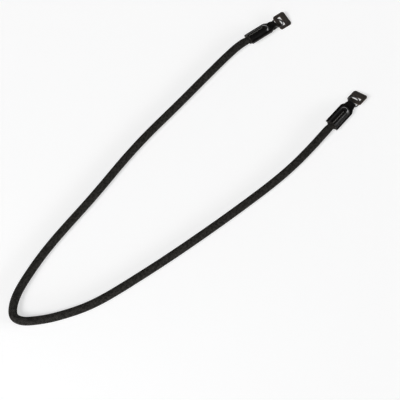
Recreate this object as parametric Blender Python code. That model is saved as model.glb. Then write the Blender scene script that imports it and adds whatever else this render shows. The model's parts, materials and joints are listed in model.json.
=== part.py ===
"""A round braided neck strap with a stitched leather end, a split ring and a leather pad at each end.

It lies on a surface at z = 0, in a long hairpin loop. Metres: +Y runs along the loop from its closed
bend to its two ends, +X to the right, +Z up. Each end is modelled in its own frame, with its origin on
the rope's axis at the sleeve's mouth and its own +Y along the sleeve, and is then laid at its place.
"""

import math

import bmesh
import bpy
import numpy as np
from mathutils import Euler, Matrix, Vector

# The gap between touching pieces, and round the rope and the ring inside the leather.
GAP = 0.0003
BORE_GAP = 0.0004

# The rope's radius inside its sleeves, which squeeze it, and by how much it swells outside them, between
# these distances from its tips.
ROPE_RADIUS = 0.0045
ROPE_SWELL = 0.00038
SWELL_FROM = 0.0265
SWELL_FULL = 0.034

# A radian of bend draws as many of the rope's points as BEND_WEIGHT metres of straight rope do.
ROPE_POINTS = 96
BEND_WEIGHT = 0.08
ROPE_BEVEL_RESOLUTION = 4
STEPS_BETWEEN_KNOTS = 24

# The leather end: a sleeve round the rope, closed by a dome, and a tab that folds round the ring.
LEATHER = 0.0013
SLEEVE_BORE = ROPE_RADIUS + BORE_GAP
SLEEVE_RADIUS = SLEEVE_BORE + LEATHER
SLEEVE_HALF_WIDTH = 0.0089
SLEEVE_STRAIGHT = 0.029
DOME_START = 0.025
WALL_STEEPEST = 0.88

TAB_START = 0.0355
TAB_HALF_WIDTH = 0.0064
FOLD_HALF_WIDTH = 0.0046
END_LENGTH = 0.0435
DROOP_SLOPE = 0.121
DROOP_FROM = 0.0245
DROOP_FULL = 0.0301
END_ROLL = math.radians(12)

# The split ring's flat wire. Its crossover is the stretch where it steps from the upper turn down.
RING_RADIUS = 0.0075
WIRE_WIDTH = 0.0012
WIRE_THICKNESS = 0.00085
WIRE_PARTING = 0.00015
WIRE_STEPS_A_TURN = 24
WIRE_SWEEP = math.radians(675)
WIRE_CROSSOVER = (math.radians(320), math.radians(350))
WIRE_CROSSOVER_FACES = math.radians(180)

# The pad: a near strip that the ring passes round, the slot, and a far strip. It leans on one edge.
PAD_HALF_WIDTH = 0.010
PAD_NEAR_STRIP = 0.0052
PAD_FAR_STRIP = 0.0078
PAD_THICKNESS = 0.0016
PAD_CORNER = 0.003
PAD_EDGE_ROUND = 0.0003
SLOT_HALF_LENGTH = 0.006
SLOT_WIDTH = 0.004
SLOT_CORNER = 0.0009
CORNER_STEPS = 4
PAD_ROLL = math.radians(15)
PAD_PITCH = math.radians(-1)
PAD_LIFT = 0.00007

# Where the rope's centreline runs, point by point: x, y, z. The first and last three points lie on
# the axes of the sleeves: the rope's end inside, the sleeve's mouth, and a straight collar before it.
SEATED_Z = SLEEVE_RADIUS
LYING_Z = ROPE_RADIUS
ROUTE = [
    (-0.0762, 0.2202, SEATED_Z),
    (-0.0794, 0.1954, SEATED_Z),
    (-0.0809, 0.1835, SEATED_Z),
    (-0.0811, 0.1602, LYING_Z),
    (-0.0790, 0.1369, LYING_Z),
    (-0.0762, 0.1095, LYING_Z),
    (-0.0732, 0.0816, LYING_Z),
    (-0.0704, 0.0533, LYING_Z),
    (-0.0678, 0.0246, LYING_Z),
    (-0.0643, -0.0045, LYING_Z),
    (-0.0595, -0.0341, LYING_Z),
    (-0.0537, -0.0641, LYING_Z),
    (-0.0480, -0.0947, LYING_Z),
    (-0.0430, -0.1259, LYING_Z),
    (-0.0379, -0.1564, LYING_Z),
    (-0.0318, -0.1843, LYING_Z),
    (-0.0250, -0.2077, LYING_Z),
    (-0.0159, -0.2317, LYING_Z),
    (-0.0050, -0.2473, LYING_Z),
    (0.0028, -0.2519, LYING_Z),
    (0.0110, -0.2497, LYING_Z),
    (0.0202, -0.2408, LYING_Z),
    (0.0303, -0.2264, LYING_Z),
    (0.0398, -0.2086, LYING_Z),
    (0.0485, -0.1882, LYING_Z),
    (0.0556, -0.1623, LYING_Z),
    (0.0611, -0.1313, LYING_Z),
    (0.0661, -0.0986, LYING_Z),
    (0.0704, -0.0662, LYING_Z),
    (0.0742, -0.0332, LYING_Z),
    (0.0776, 0.0003, LYING_Z),
    (0.0803, 0.0315, LYING_Z),
    (0.0824, 0.0612, LYING_Z),
    (0.0834, 0.0906, LYING_Z),
    (0.0827, 0.1176, LYING_Z),
    (0.0806, 0.1433, LYING_Z),
    (0.0784, 0.1665, SEATED_Z),
    (0.0771, 0.1784, SEATED_Z),
    (0.0745, 0.2033, SEATED_Z),
]

# Colour, roughness and metallic value of each material.
BRAID = ((0.012, 0.012, 0.012), 0.75, 0.0)
BLACK_LEATHER = ((0.014, 0.013, 0.013), 0.45, 0.0)
PAD_LEATHER = ((0.028, 0.022, 0.018), 0.6, 0.0)
DARK_STEEL = ((0.30, 0.30, 0.31), 0.3, 1.0)


def clear_scene():
    for item in list(bpy.data.objects):
        bpy.data.objects.remove(item, do_unlink=True)


def material(name, finish):
    colour, roughness, metallic = finish
    made = bpy.data.materials.new(name)
    made.use_nodes = True
    shader = made.node_tree.nodes["Principled BSDF"]
    shader.inputs["Base Color"].default_value = (*colour, 1.0)
    shader.inputs["Roughness"].default_value = roughness
    shader.inputs["Metallic"].default_value = metallic
    made.diffuse_color = (*colour, 1.0)
    return made


def add_object(name, data, finish, parent=None):
    made = bpy.data.objects.new(name, data)
    bpy.context.scene.collection.objects.link(made)
    made.data.materials.append(material(name, finish))
    made.parent = parent
    return made


def mesh_from(name, bm):
    """The finished mesh of a bmesh, with its faces pointing out and its round sides shaded smooth."""
    bmesh.ops.recalc_face_normals(bm, faces=bm.faces)
    mesh = bpy.data.meshes.new(name)
    bm.to_mesh(mesh)
    bm.free()
    mesh.shade_smooth()
    mesh.set_sharp_from_angle(angle=math.radians(35))
    return mesh


def ease(value, start, end):
    """0 before start, 1 after end, and a smooth step between them."""
    part = min(1.0, max(0.0, (value - start) / (end - start)))
    return part * part * (3 - 2 * part)


def smooth_curve(route, count):
    """Points along the natural cubic spline through a route, the closer the more the curve bends."""
    knots = np.array(route)
    step = np.linalg.norm(np.diff(knots, axis=0), axis=1)
    slope = np.diff(knots, axis=0) / step[:, None]
    system = np.eye(len(knots))
    pull = np.zeros_like(knots)
    for i in range(1, len(knots) - 1):
        system[i, i - 1 : i + 2] = step[i - 1], 2 * (step[i - 1] + step[i]), step[i]
        pull[i] = 6 * (slope[i] - slope[i - 1])
    bend = np.linalg.solve(system, pull)
    dense = []
    for i, length in enumerate(step):
        for part in np.linspace(0.0, 1.0, STEPS_BETWEEN_KNOTS, endpoint=False):
            before = part**3 - part
            after = (1 - part) ** 3 - (1 - part)
            curl = (bend[i] * after + bend[i + 1] * before) * length**2 / 6
            dense.append(knots[i] * (1 - part) + knots[i + 1] * part + curl)
    dense = np.array([*dense, knots[-1]])
    stretch = np.linalg.norm(np.diff(dense, axis=0), axis=1)
    heading = np.diff(dense, axis=0) / stretch[:, None]
    turned = np.linalg.norm(np.diff(heading, axis=0), axis=1)
    weight = stretch + BEND_WEIGHT * np.append(0.0, turned)
    along = np.concatenate([[0.0], np.cumsum(weight)])
    wanted = np.linspace(0.0, along[-1], count)
    return np.stack([np.interp(wanted, along, dense[:, axis]) for axis in range(3)], axis=1)


def make_rope():
    """The braided rope's outer form: a round bar along ROUTE, thicker and raised outside its sleeves."""
    points = smooth_curve(ROUTE, ROPE_POINTS)
    gone = np.linalg.norm(np.diff(points, axis=0), axis=1)
    along = np.concatenate([[0.0], np.cumsum(gone)])
    curve = bpy.data.curves.new("rope", "CURVE")
    curve.dimensions = "3D"
    curve.bevel_depth = ROPE_RADIUS
    curve.bevel_resolution = ROPE_BEVEL_RESOLUTION
    curve.use_fill_caps = True
    spline = curve.splines.new("POLY")
    spline.points.add(len(points) - 1)
    for target, (x, y, z), at in zip(spline.points, points, along):
        swell = ROPE_SWELL * ease(min(at, along[-1] - at), SWELL_FROM, SWELL_FULL)
        target.co = (x, y, max(z, LYING_Z) + swell, 1.0)
        target.radius = 1.0 + swell / ROPE_RADIUS
    return add_object("rope", curve, BRAID)


def wall_height(distance, radius, flange):
    """Height over the seam plane of a leather face, at this distance from the rope's axis line.

    The face follows a circle round the rope, and sweeps out into the flat flange beside it.
    """
    steepest = WALL_STEEPEST * radius
    top = math.sqrt(radius**2 - steepest**2)
    if distance <= steepest:
        return math.sqrt(radius**2 - distance**2)
    span = 2 * (top - flange) * top / steepest
    left = max(0.0, 1 - (distance - steepest) / span)
    return flange + (top - flange) * left**2


def strip_half_width(y):
    """Half the leather strip's width: the sleeve, its rounded shoulder, and the tapering tab."""
    shoulder = ease(y, SLEEVE_STRAIGHT, TAB_START)
    taper = min(1.0, max(0.0, (y - TAB_START) / (END_LENGTH - LEATHER - TAB_START)))
    width = SLEEVE_HALF_WIDTH + (TAB_HALF_WIDTH - SLEEVE_HALF_WIDTH) * shoulder
    return width + (FOLD_HALF_WIDTH - TAB_HALF_WIDTH) * taper


def droop(y):
    """How far the strip's middle plane has sunk below the sleeve's axis."""
    if y < DROOP_FROM:
        return 0.0
    if y < DROOP_FULL:
        return DROOP_SLOPE * (y - DROOP_FROM) ** 2 / (2 * (DROOP_FULL - DROOP_FROM))
    return DROOP_SLOPE * (y - (DROOP_FROM + DROOP_FULL) / 2)


EYE_HALF_HEIGHT = WIRE_THICKNESS + WIRE_PARTING / 2 + BORE_GAP
FOLD_CENTRE = END_LENGTH - LEATHER - EYE_HALF_HEIGHT
WIRE_INNER_RADIUS = RING_RADIUS - WIRE_WIDTH
RING_CENTRE = FOLD_CENTRE + math.sqrt(WIRE_INNER_RADIUS**2 - FOLD_HALF_WIDTH**2) + GAP / 3
EYE_START = RING_CENTRE - RING_RADIUS - BORE_GAP


def strip_rows():
    """The strip's cross rows from the upper mouth round the fold to the lower mouth.

    Each row is a place along the sleeve, the direction that its outer face looks to, as an angle over
    +Y, and True where the row is on the fold.
    """
    sleeve = [0.0, 0.009, 0.018, DOME_START, 0.0268, 0.0284, 0.0298, 0.0312, 0.0328, 0.0342]
    tab = [TAB_START, EYE_START - 0.0009, EYE_START, FOLD_CENTRE]
    upper = [(y, 90, False) for y in sleeve + tab]
    fold = [(FOLD_CENTRE, angle, True) for angle in (60, 30, 0, -30, -60)]
    lower = [(y, -90, False) for y in reversed(sleeve + tab)]
    return upper + fold + lower


def strip_faces(y, x, on_fold):
    """Heights of the strip's inner and outer face over its middle plane."""
    if on_fold:
        return EYE_HALF_HEIGHT, EYE_HALF_HEIGHT + LEATHER
    distance = math.hypot(x, max(0.0, y - DOME_START))
    eye = (EYE_HALF_HEIGHT - GAP / 2) * ease(y, EYE_START - 0.0042, EYE_START)
    inner = wall_height(distance, SLEEVE_BORE, GAP / 2) + eye
    outer = wall_height(distance, SLEEVE_RADIUS, GAP / 2 + LEATHER) + eye
    return inner, outer


def leather_end_mesh(side):
    """One strip of leather, folded round the ring, whose two wide halves clasp the rope's end."""
    fractions = (0.18, 0.34, 0.46, 0.54, 0.62, 0.70, 0.80, 1.0)
    columns = [-part for part in reversed(fractions)] + [0.0] + list(fractions)
    bm = bmesh.new()
    inner, outer = [], []
    for y, angle, on_fold in strip_rows():
        half_width = FOLD_HALF_WIDTH if on_fold else strip_half_width(y)
        for face, verts in enumerate((inner, outer)):
            row = []
            for part in columns:
                x = part * half_width
                height = strip_faces(y, x, on_fold)[face]
                ahead = y + height * math.cos(math.radians(angle))
                up = height * math.sin(math.radians(angle)) - droop(ahead)
                row.append(bm.verts.new((side * x, ahead, up)))
            verts.append(row)
    last = len(columns) - 1
    for k in range(len(inner) - 1):
        for i in range(last):
            bm.faces.new((inner[k][i], inner[k][i + 1], inner[k + 1][i + 1], inner[k + 1][i]))
            bm.faces.new((outer[k][i], outer[k + 1][i], outer[k + 1][i + 1], outer[k][i + 1]))
        bm.faces.new((inner[k][0], inner[k + 1][0], outer[k + 1][0], outer[k][0]))
        bm.faces.new((inner[k][last], outer[k][last], outer[k + 1][last], inner[k + 1][last]))
    for k in (0, len(inner) - 1):
        for i in range(last):
            bm.faces.new((inner[k][i], outer[k][i], outer[k][i + 1], inner[k][i + 1]))
    return mesh_from("leather_end", bm)


def split_ring_mesh(side):
    """Flat wire wound nearly twice round, stepping from the upper turn to the lower one."""
    count = round(WIRE_SWEEP / math.tau * WIRE_STEPS_A_TURN)
    start = WIRE_CROSSOVER_FACES - sum(WIRE_CROSSOVER) / 2
    middle = RING_RADIUS - WIRE_WIDTH / 2
    level = (WIRE_THICKNESS + WIRE_PARTING) / 2
    corners = [(-0.5, -0.5), (0.5, -0.5), (0.5, 0.5), (-0.5, 0.5)]
    bm = bmesh.new()
    rings = []
    for k in range(count + 1):
        sweep = WIRE_SWEEP * k / count
        turn = start + sweep
        height = level - 2 * level * ease(sweep, *WIRE_CROSSOVER)
        ring = []
        for across, up in corners:
            radius = middle + across * WIRE_WIDTH
            x, y = radius * math.cos(turn), radius * math.sin(turn)
            ring.append(bm.verts.new((side * x, y, height + up * WIRE_THICKNESS)))
        rings.append(ring)
    for one, other in zip(rings, rings[1:]):
        for i in range(4):
            bm.faces.new((one[i], one[i - 1], other[i - 1], other[i]))
    bm.faces.new(rings[0])
    bm.faces.new(reversed(rings[-1]))
    return mesh_from("split_ring", bm)


def rounded_outline(x, near, far, corner):
    """Points round a rectangle with round corners, from -x to x and from near to far."""
    centres = [(x - corner, far - corner), (corner - x, far - corner)]
    centres += [(corner - x, near + corner), (x - corner, near + corner)]
    points = []
    for quarter, (cx, cy) in enumerate(centres):
        for k in range(CORNER_STEPS + 1):
            angle = math.radians(90) * (quarter + k / CORNER_STEPS)
            points.append((cx + corner * math.cos(angle), cy + corner * math.sin(angle)))
    return points


def ring_pad_mesh(side):
    """A flat leather pad, with its origin in the middle of the slot that the ring passes through."""
    near = -SLOT_WIDTH / 2 - PAD_NEAR_STRIP
    far = SLOT_WIDTH / 2 + PAD_FAR_STRIP
    bm = bmesh.new()
    edges = []
    for outline in (
        rounded_outline(PAD_HALF_WIDTH, near, far, PAD_CORNER),
        rounded_outline(SLOT_HALF_LENGTH, -SLOT_WIDTH / 2, SLOT_WIDTH / 2, SLOT_CORNER),
    ):
        loop = [bm.verts.new((side * x, y, 0.0)) for x, y in outline]
        for one, other in zip(loop, loop[1:] + loop[:1]):
            edges.append(bm.edges.new((one, other)))
    bmesh.ops.bridge_loops(bm, edges=edges)
    return mesh_from("ring_pad", bm)


def thicken_and_round(pad):
    solid = pad.modifiers.new("thickness", "SOLIDIFY")
    solid.thickness = PAD_THICKNESS
    solid.offset = 0.0
    rounding = pad.modifiers.new("edges", "BEVEL")
    rounding.width = PAD_EDGE_ROUND
    rounding.segments = 1
    rounding.limit_method = "ANGLE"
    rounding.angle_limit = math.radians(60)


def end_frame(name, tip, mouth):
    """An empty on the rope's axis at the sleeve's mouth, whose +Y looks along the sleeve."""
    frame = bpy.data.objects.new(name, None)
    bpy.context.scene.collection.objects.link(frame)
    along = Vector(tip) - Vector(mouth)
    frame.location = mouth
    frame.rotation_euler = (0.0, 0.0, math.atan2(-along.x, along.y))
    return frame


def make_end(word, side, tip, mouth):
    """The leather end, split ring and pad of one end. The side is 1, or -1 for the mirrored end."""
    frame = end_frame(word + "_end_frame", tip, mouth)
    roll = side * END_ROLL
    leather = add_object(word + "_leather_end", leather_end_mesh(side), BLACK_LEATHER, frame)
    leather.rotation_euler = (0.0, roll, 0.0)
    rolled = Matrix.Rotation(roll, 3, "Y")
    pitched = Matrix.Rotation(-math.atan(DROOP_SLOPE), 3, "X")
    ring = add_object(word + "_split_ring", split_ring_mesh(side), DARK_STEEL, frame)
    ring_centre = Vector((0.0, RING_CENTRE, -droop(RING_CENTRE)))
    ring.location = rolled @ ring_centre
    ring.rotation_euler = (rolled @ pitched).to_euler()
    pad = add_object(word + "_ring_pad", ring_pad_mesh(side), PAD_LEATHER, frame)
    slot_ahead = RING_RADIUS + 2 * GAP - SLOT_WIDTH / 2
    pad.location = ring.location + rolled @ pitched @ Vector((0.0, slot_ahead, 0.0))
    pad.location.z += PAD_LIFT
    pad.rotation_euler = Euler((PAD_PITCH, -side * PAD_ROLL, 0.0))
    thicken_and_round(pad)


def main():
    clear_scene()
    make_rope()
    make_end("left", -1, ROUTE[0], ROUTE[1])
    make_end("right", 1, ROUTE[-1], ROUTE[-2])
    bpy.context.view_layer.update()


main()
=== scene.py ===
"""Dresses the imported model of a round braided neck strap: cord, leather ends, thread, rings and pads.

Metres, in the model's own frame: +Y runs along the loop from its closed bend to its two ends, +X to the
right, +Z up from the surface that the strap lies on. Each end has a frame of its own, with its origin on
the cord's axis at the sleeve's mouth and its +Y along the sleeve.
"""

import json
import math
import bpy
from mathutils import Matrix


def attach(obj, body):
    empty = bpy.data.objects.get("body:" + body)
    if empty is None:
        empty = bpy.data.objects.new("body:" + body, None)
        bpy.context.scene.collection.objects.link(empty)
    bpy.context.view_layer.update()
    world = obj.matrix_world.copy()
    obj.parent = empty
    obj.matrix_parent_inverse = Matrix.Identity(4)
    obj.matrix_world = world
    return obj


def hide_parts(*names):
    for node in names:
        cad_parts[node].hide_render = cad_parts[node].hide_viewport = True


bl_info = {
    "name": "Braided neck strap",
    "version": (1, 0, 0),
    "blender": (4, 5, 0),
    "location": "3D View > Sidebar > Neck Strap",
    "description": "Builds the looks of a braided neck strap over its packed model",
    "category": "Object",
}

import bmesh
import bpy
import numpy as np
from bpy.props import FloatProperty, FloatVectorProperty, PointerProperty
from bpy.types import Operator, Panel, PropertyGroup
from mathutils import Euler, Matrix, Vector

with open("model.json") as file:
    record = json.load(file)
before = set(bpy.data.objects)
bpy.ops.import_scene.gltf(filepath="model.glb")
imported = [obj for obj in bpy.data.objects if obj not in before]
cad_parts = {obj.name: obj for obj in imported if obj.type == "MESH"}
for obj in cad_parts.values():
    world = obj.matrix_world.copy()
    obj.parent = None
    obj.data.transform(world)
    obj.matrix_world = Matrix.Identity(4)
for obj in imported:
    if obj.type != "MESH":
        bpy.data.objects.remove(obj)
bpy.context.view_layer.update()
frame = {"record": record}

# The base colour that the record gives each material slot, which the colour settings start from.
SLOT_COLOUR = {item["slot"]: tuple(item["base_color"][:3]) for item in frame["record"]["materials"]}

# The model's own sizes, repeated from its source.
GAP = 0.0003
BORE_GAP = 0.0004
ROPE_RADIUS = 0.0045
ROPE_SWELL = 0.00038
SWELL_FROM = 0.0265
SWELL_FULL = 0.034
STEPS_BETWEEN_KNOTS = 24

LEATHER = 0.0013
SLEEVE_RADIUS = ROPE_RADIUS + BORE_GAP + LEATHER
SLEEVE_HALF_WIDTH = 0.0089
SLEEVE_STRAIGHT = 0.029
DOME_START = 0.025
WALL_STEEPEST = 0.88
TAB_START = 0.0355
TAB_HALF_WIDTH = 0.0064
FOLD_HALF_WIDTH = 0.0046
END_LENGTH = 0.0435
DROOP_SLOPE = 0.121
DROOP_FROM = 0.0245
DROOP_FULL = 0.0301
END_ROLL = math.radians(12)

RING_RADIUS = 0.0075
WIRE_WIDTH = 0.0012
WIRE_THICKNESS = 0.00085
WIRE_PARTING = 0.00015
WIRE_SWEEP = math.radians(675)
WIRE_CROSSOVER = (math.radians(320), math.radians(350))
WIRE_CROSSOVER_FACES = math.radians(180)

PAD_HALF_WIDTH = 0.010
PAD_NEAR_STRIP = 0.0052
PAD_FAR_STRIP = 0.0078
PAD_THICKNESS = 0.0016
PAD_CORNER = 0.003
SLOT_HALF_LENGTH = 0.006
SLOT_WIDTH = 0.004
SLOT_CORNER = 0.0009
PAD_ROLL = math.radians(15)
PAD_PITCH = math.radians(-1)
PAD_LIFT = 0.00007

EYE_HALF_HEIGHT = WIRE_THICKNESS + WIRE_PARTING / 2 + BORE_GAP
FOLD_CENTRE = END_LENGTH - LEATHER - EYE_HALF_HEIGHT
WIRE_INNER_RADIUS = RING_RADIUS - WIRE_WIDTH
RING_CENTRE = FOLD_CENTRE + math.sqrt(WIRE_INNER_RADIUS**2 - FOLD_HALF_WIDTH**2) + GAP / 3
EYE_START = RING_CENTRE - RING_RADIUS - BORE_GAP

# Where the cord's centreline runs, from the tip inside the left sleeve to the one inside the right. The
# knots near both ends are at the height of the sleeves' axes, and the others lie on the surface.
SEATED_Z = SLEEVE_RADIUS
LYING_Z = ROPE_RADIUS
KNOTS = [
    (-0.0762, 0.2202), (-0.0794, 0.1954), (-0.0809, 0.1835), (-0.0811, 0.1602), (-0.0790, 0.1369),
    (-0.0762, 0.1095), (-0.0732, 0.0816), (-0.0704, 0.0533), (-0.0678, 0.0246), (-0.0643, -0.0045),
    (-0.0595, -0.0341), (-0.0537, -0.0641), (-0.0480, -0.0947), (-0.0430, -0.1259), (-0.0379, -0.1564),
    (-0.0318, -0.1843), (-0.0250, -0.2077), (-0.0159, -0.2317), (-0.0050, -0.2473), (0.0028, -0.2519),
    (0.0110, -0.2497), (0.0202, -0.2408), (0.0303, -0.2264), (0.0398, -0.2086), (0.0485, -0.1882),
    (0.0556, -0.1623), (0.0611, -0.1313), (0.0661, -0.0986), (0.0704, -0.0662), (0.0742, -0.0332),
    (0.0776, 0.0003), (0.0803, 0.0315), (0.0824, 0.0612), (0.0834, 0.0906), (0.0827, 0.1176),
    (0.0806, 0.1433), (0.0784, 0.1665), (0.0771, 0.1784), (0.0745, 0.2033),
]
SEATED_KNOTS = 3
ROUTE = [
    (x, y, LYING_Z if SEATED_KNOTS <= k < len(KNOTS) - SEATED_KNOTS else SEATED_Z)
    for k, (x, y) in enumerate(KNOTS)
]

# The cord's braid: yarns each way, each passing over two and under two of the others. The rings of a
# yarn are given by their place in the four crossings of one repeat, and by how far they rise or dive.
# Its width has a steady share, and a share that grows as it rises.
YARNS_EACH_WAY = 28
CROSSINGS_A_REPEAT = 4
YARN_RINGS = [
    # place, rise
    (-0.95, 0.1),
    (-0.4, 0.94),
    (0.4, 0.94),
    (0.95, 0.1),
    (2.0, -1.0),
]
YARN_SECTION = [math.radians(angle) for angle in (0, 55, 125, 180, 270)]
YARNS_A_PIECE = 14
YARN_WIDTH_SHARES = (0.93, 0.07)
YARNS_FROM_TIP = 0.019
TONE_SEED = 11
CORE_RADIUS = 0.0036
CORE_POINTS = 420

# The yarns' bake map: rows for each yarn, and the margin and the fill of a row, up and along.
SHEET_ROWS = 6
SHEET_UP = (0.1, 0.8)
SHEET_ALONG = (0.005, 0.99)

# The leather as it is dressed: it hugs the cord, and its halves meet.
HUG_RADIUS = ROPE_RADIUS + 0.0001
SEAM_PARTING = 0.00005
OUTER_EDGE_ROUND = 0.00042
INNER_EDGE_ROUND = 0.0002
BORDER = (0.0, 0.00005, 0.00014, 0.00026, 0.00042, 0.0007, 0.00095, 0.0011, 0.00125, 0.0015, 0.0019)
CREASE_INSET = 0.0011
CREASE_WIDTH = 0.00016
CREASE_DEPTH = 0.00014
ROWS_AT_MOUTH = 5
COLUMNS_BETWEEN_BORDERS = 36
ROW_STEP = 0.0004
FOLD_ANGLES = np.radians(np.arange(78, -79, -12))
EYE_RISE = 0.0042
RIM_WIDTH = 0.00055
HANDLED_ALONG = (DOME_START - 0.002, DOME_START + 0.001)
HANDLED_ROUND = (0.0045, 0.0062)

# The seam down the middle of each sleeve, sewn through both walls and the cord.
SEAM_HOLES = 6
SEAM_FIRST_HOLE = 0.0014
SEAM_PITCH = 0.00415
VALLEY_HALF_WIDTH = 0.0011
VALLEY_DEPTH = 0.0003
VALLEY_BEGINS = (-0.004, 0.0005)
VALLEY_ENDS = (0.0005, 0.005)
HOLE_RADIUS = 0.00085
HOLE_DEPTH = 0.0009

# The thread: each stitch lies in the valley, climbs with the wall towards the dome, and dives at both
# ends. Its width has a steady share, and a share that its plies add.
STITCH_POINTS = 22
STITCH_SUNK = 0.0009
STITCH_LIFT = 0.00012
STITCH_DIVE = 0.10
STITCH_LEAN = 0.00022
STITCH_ASIDE = 0.0001
STITCH_CLIMB = (0.0227, 0.0272)
THREAD_SIDES = 12
THREAD_PLIES = 3
THREAD_TWIST = 0.0036
THREAD_WIDTH_SHARES = (0.92, 0.08)

# The wire and the pads as they are dressed. The wire's ends keep a share of its section, and the rest of
# it grows over a short slope. A pad's crease has an inset, a width and a depth.
WIRE_STEPS = 300
WIRE_CORNER = 0.00018
WIRE_END_SHARES = (0.62, 0.38)
WIRE_END_SLOPE = (-0.0001, 0.0007)
OUTLINE_HALVINGS = 40
PAD_POINTS = 240
PAD_INSETS = (0.0, 0.00004, 0.00012, 0.00024, 0.0004, 0.0006, 0.0009)
PAD_MIDDLE_LOOPS = 9
PAD_EDGE_ROUND = 0.0004
PAD_CREASE = (0.0011, 0.0002, 0.00010)
PAD_WAVE = 0.00005
PAD_RIM_WIDTH = 0.0005

# The stage. A light's direction is seen from the strap.
FLOOR_SIDES = 96
FLOOR_RINGS = ((0.6, 0.0), (1.3, 0.0), (1.9, 0.0), (2.2, 0.03), (2.5, 0.12), (2.75, 0.28), (2.9, 0.5))
KEY_TOWARDS = (0.02, -0.99, 0.80)
RIM_TOWARDS = (0.82, 0.49, 0.27)
GLINT_TOWARDS = (0.60, 0.78, 0.165)
SOFT_SPREAD = math.radians(24)
RIM_SPREAD = math.radians(12)
LOW_LIGHT_PLACE = Vector((0.26, -0.79, 0.11))
LOW_LIGHT_AIM = Vector((0.0, -0.22, 0.0))
LOW_LIGHT_SIZE = 0.2
CAMERA_TARGET = Vector((0.03826, -0.00195, 0.0))
CAMERA_HEADING = math.atan2(0.7193, 0.6947)
SENSOR_WIDTH = 36.0
CLIP_START = 0.01
CLIP_END = 20.0


# Settings.


def tinted(colour, share):
    """The colour made this many times as bright."""
    return tuple(share * part for part in colour)


def colour_setting(name, description, default):
    """A colour that a user may change."""
    kind = {"min": 0.0, "max": 1.0, "size": 3, "subtype": "COLOR"}
    return FloatVectorProperty(name=name, description=description, default=default, **kind)


def number_setting(name, description, default, low, high, **kind):
    """A number that a user may change, with its unit or subtype where one fits."""
    return FloatProperty(name=name, description=description, default=default, min=low, max=high, **kind)


def length_setting(name, description, default, low, high):
    """A length in metres that a user may change."""
    return number_setting(name, description, default, low, high, unit="LENGTH")


class StrapCordSettings(PropertyGroup):
    """Sizes and colours of the braided cord."""

    stitch: length_setting(
        "Braid stitch",
        "Length of the cord that one over-two, under-two repeat of a yarn takes up",
        0.0038, 0.002, 0.006,
    )
    yarn_width: length_setting(
        "Yarn width", "Width of one yarn where it lies on top", 0.00088, 0.0004, 0.0012
    )
    yarn_height: length_setting(
        "Yarn height", "Height of one yarn's oval section", 0.00056, 0.0002, 0.0008
    )
    rise: length_setting(
        "Yarn rise", "How far a yarn rises and dives about the middle of the braid", 0.00034, 0.0, 0.0006
    )
    # The yarns' tops: their own colour, made paler by rubbed wear and by a painted highlight.
    yarn_colour: colour_setting(
        "Yarn colour", "Colour of the yarns where they lie on top and are rubbed", (0.0605, 0.0567, 0.0512)
    )
    # Painted shade: the dark colour that the yarns fall to where they dive into the hollows under others.
    hollow_shade_colour: colour_setting(
        "Hollow shade colour",
        "Colour of the yarns where they dive under others",
        tinted(SLOT_COLOUR["braid"], 0.1),
    )


class StrapLeatherSettings(PropertyGroup):
    """Colours of the leather ends, their thread and the pads, and the thread's width."""

    sleeve_colour: colour_setting(
        "Sleeve leather", "Colour of the dyed leather ends", tinted(SLOT_COLOUR["black_leather"], 0.35)
    )
    rubbed_colour: colour_setting(
        "Rubbed leather",
        "Colour of the leather ends along edges and creases that are rubbed",
        (0.026, 0.023, 0.020),
    )
    thread_colour: colour_setting("Thread", "Colour of the waxed thread", (0.12, 0.116, 0.106))
    thread_width: length_setting("Thread width", "Thickness of the waxed thread", 0.0009, 0.0003, 0.0012)
    pad_colour: colour_setting(
        "Pad leather", "Colour of the brownish-black pads", SLOT_COLOUR["pad_leather"]
    )
    pad_edge_colour: colour_setting("Pad edge", "Colour of the pads' worn edges", (0.085, 0.058, 0.038))


class StrapRingSettings(PropertyGroup):
    """Colour and finish of the split rings."""

    steel_colour: colour_setting(
        "Ring steel", "Colour of the plated spring steel", tinted(SLOT_COLOUR["dark_steel"], 0.35)
    )
    steel_roughness: number_setting(
        "Ring roughness", "How matt the plating is, before its scratches", 0.42, 0.0, 1.0, subtype="FACTOR"
    )


class StrapStageSettings(PropertyGroup):
    """The floor, the light and the camera."""

    floor_colour: colour_setting("Floor colour", "Colour of the plain pale floor", (0.57, 0.57, 0.572))
    floor_glow: number_setting(
        "Floor glow", "Light that the floor gives off by itself, as a light table does", 0.568, 0.0, 2.0
    )
    room_light: number_setting("Room light", "Strength of the even light from all round", 0.08, 0.0, 4.0)
    key_light: number_setting(
        "Key light", "Strength of the soft light from beyond the strap's closed bend", 2.2, 0.0, 20.0
    )
    low_light: number_setting(
        "Low light",
        "Power in watts of the low light near the closed bend, which fades along the strap",
        1.8, 0.0, 50.0,
    )
    rim_light: number_setting(
        "Rim light",
        "Strength of the low light at the right, which draws the highlights on the leather",
        0.62, 0.0, 20.0,
    )
    glint_light: number_setting(
        "Glint light",
        "Strength of the small low light from beyond the ends, which draws a glint on each dome",
        1.4, 0.0, 20.0,
    )
    camera_elevation: number_setting(
        "Camera elevation",
        "How far above the horizon the camera stands, seen from the strap",
        math.radians(62), math.radians(5), math.radians(89), subtype="ANGLE",
    )
    camera_heading: number_setting(
        "Camera heading",
        "Direction that the camera looks along, turned from +Y towards -X",
        CAMERA_HEADING, -math.pi, math.pi, subtype="ANGLE",
    )
    camera_distance: length_setting(
        "Camera distance",
        "Distance from the camera to the point on the floor that it looks at",
        1.438, 0.2, 5.0,
    )
    camera_lens: number_setting(
        "Camera lens", "Focal length in millimetres, on a sensor 36 mm wide", 111.6, 10.0, 300.0
    )


# Materials.


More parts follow.
